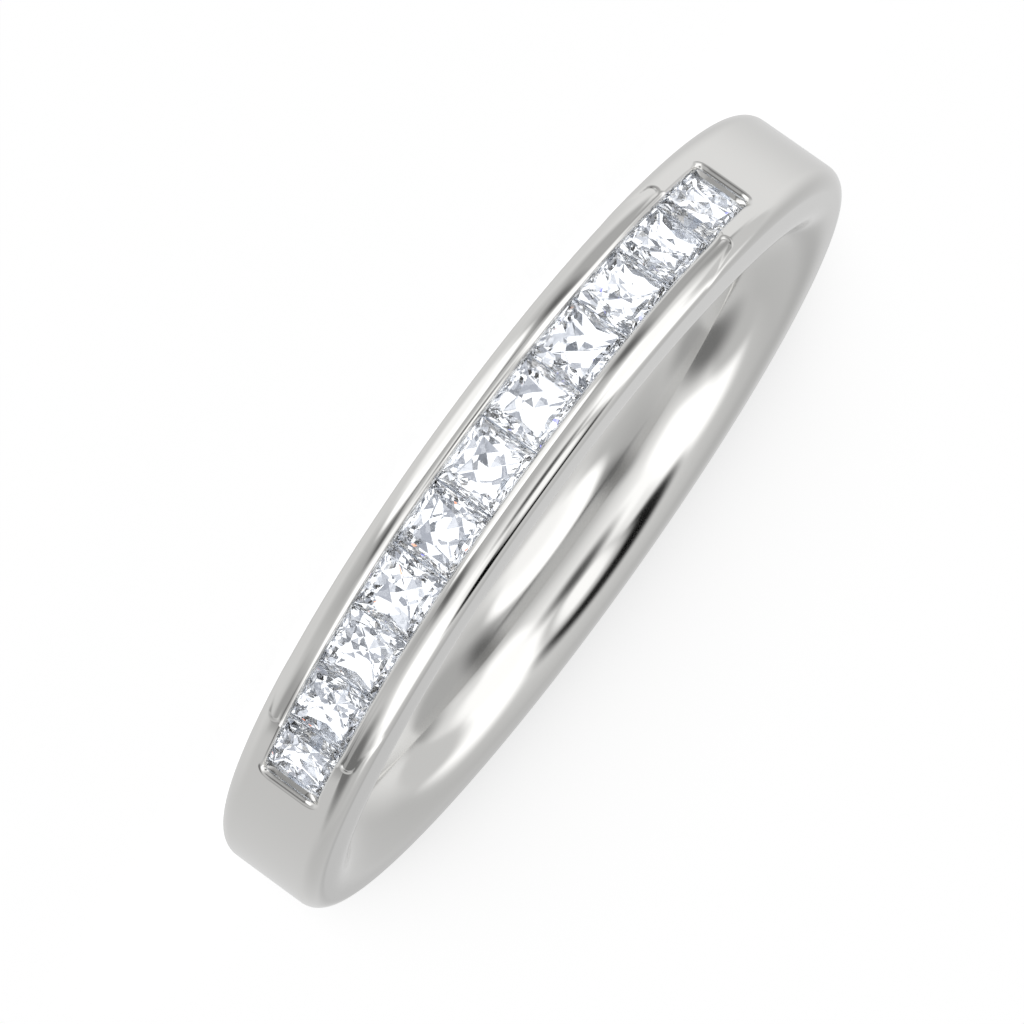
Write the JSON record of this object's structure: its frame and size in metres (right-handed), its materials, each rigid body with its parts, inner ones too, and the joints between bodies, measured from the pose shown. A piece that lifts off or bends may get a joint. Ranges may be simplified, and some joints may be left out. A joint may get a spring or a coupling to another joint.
{
  "type": "half eternity ring",
  "caption": "Half eternity finger ring: a polished band with a comfort-fit bore, and a channel of princess-cut stones over its front third, lying on its side.",
  "frame": {"origin": "centre of the finger bore, on the side face that the ring rests on", "axes": "+Z along the ring's axis, upwards; -Y out through the middle of the row of stones; +X along the row"},
  "size_m": [0.0208, 0.0208, 0.0028],
  "materials": {
    "platinum": "high polish, faintly warm white metal",
    "diamond": "clear, faceted, sharp reflections"
  },
  "bodies": {
    "root": {"band": "platinum", "stone_01": "diamond", "stone_02": "diamond", "stone_03": "diamond", "stone_04": "diamond", "stone_05": "diamond", "stone_06": "diamond", "stone_07": "diamond", "stone_08": "diamond", "stone_09": "diamond", "stone_10": "diamond", "stone_11": "diamond"}
  },
  "joints": []
}
